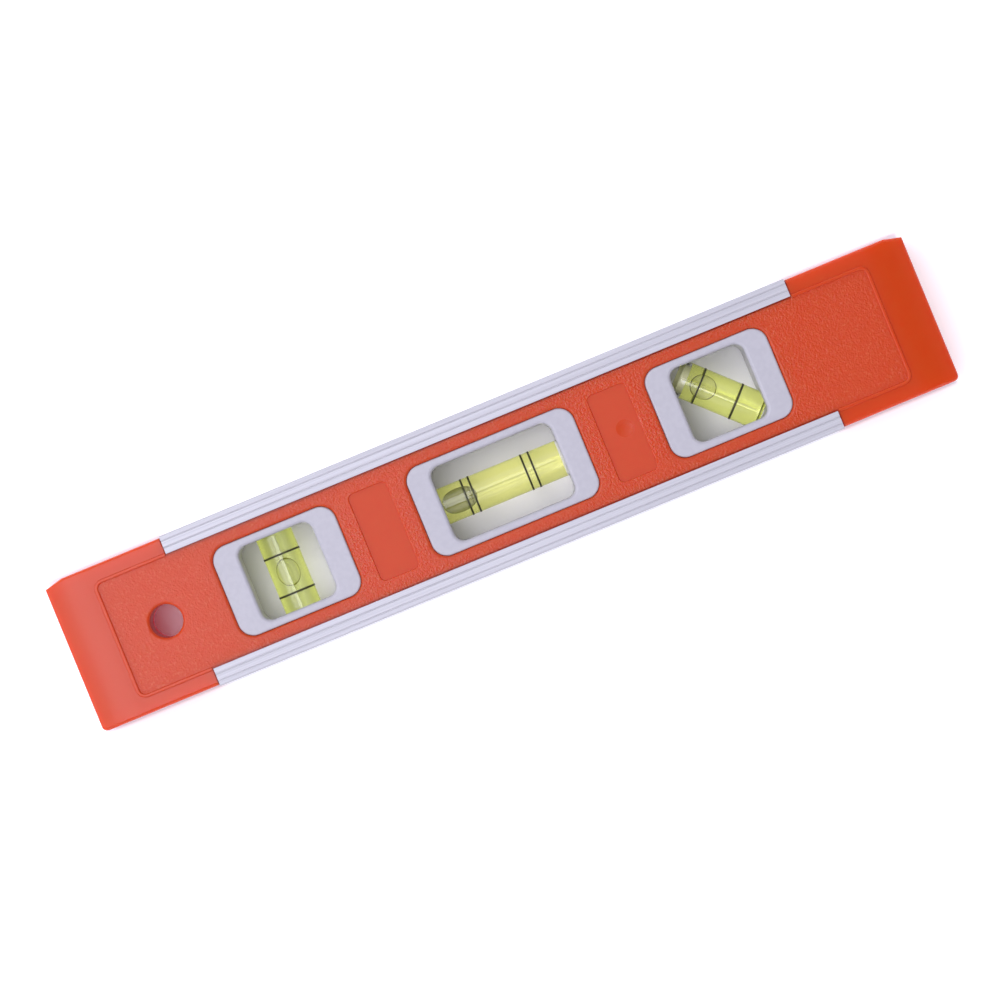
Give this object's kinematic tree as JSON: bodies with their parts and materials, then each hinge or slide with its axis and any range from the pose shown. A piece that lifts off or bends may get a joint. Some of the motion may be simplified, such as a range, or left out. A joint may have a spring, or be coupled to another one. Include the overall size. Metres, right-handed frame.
{
  "type": "torpedo spirit level",
  "caption": "Pocket torpedo spirit level: moulded body, aluminium edge rails and framed plumb, level and forty-five degree vials, with a hang hole.",
  "frame": {"origin": "under the middle of the level, on the surface it lies on", "axes": "+X along the level towards the angled vial, +Y towards the plain upper rail, +Z out of the front face"},
  "size_m": [0.229, 0.04, 0.02],
  "materials": {
    "body_plastic": "moulded, fine grain on the panel and smooth on the ends",
    "rail_metal": "extruded, satin silver",
    "frame_plastic": "white moulded, satin",
    "vial_acrylic": "clear moulded acrylic, polished",
    "plug_acrylic": "clear acrylic, matt from the mould",
    "vial_liquid": "yellow-green spirit",
    "bubble_air": "air with a clear skin of liquid round it",
    "mark_ink": "printed black line"
  },
  "bodies": {
    "frame": {"body": "body_plastic", "rail_top": "rail_metal", "rail_bottom": "rail_metal", "plumb_bezel_front": "frame_plastic", "plumb_bezel_rear": "frame_plastic", "plumb_vial_tube": "vial_acrylic", "plumb_vial_plug": "plug_acrylic", "plumb_liquid": "vial_liquid", "plumb_mark_upper": "mark_ink", "plumb_mark_lower": "mark_ink", "level_bezel_front": "frame_plastic", "level_bezel_rear": "frame_plastic", "level_vial_tube": "vial_acrylic", "level_vial_plug": "plug_acrylic", "level_liquid": "vial_liquid", "level_mark_outer_left": "mark_ink", "level_mark_inner_left": "mark_ink", "level_mark_inner_right": "mark_ink", "level_mark_outer_right": "mark_ink", "angle_bezel_front": "frame_plastic", "angle_bezel_rear": "frame_plastic", "angle_vial_tube": "vial_acrylic", "angle_vial_plug": "plug_acrylic", "angle_liquid": "vial_liquid", "angle_mark_upper": "mark_ink", "angle_mark_lower": "mark_ink"},
    "plumb_bubble": {"plumb_bubble": "bubble_air"},
    "level_bubble": {"level_bubble": "bubble_air"},
    "angle_bubble": {"angle_bubble": "bubble_air"}
  },
  "joints": [
    {"name": "plumb_bubble_slide", "type": "slide", "parent": "frame", "child": "plumb_bubble", "axis": [0, 1, 0], "range_m": [-0.00597, 0.00727], "deforming": ["plumb_liquid"]},
    {"name": "level_bubble_slide", "type": "slide", "parent": "frame", "child": "level_bubble", "axis": [1, 0, 0], "range_m": [-0.00047, 0.02247], "deforming": ["level_liquid"]},
    {"name": "angle_bubble_slide", "type": "slide", "parent": "frame", "child": "angle_bubble", "axis": [0.7071, -0.7071, 0], "range_m": [-0.00101, 0.01163], "deforming": ["angle_liquid"]}
  ]
}
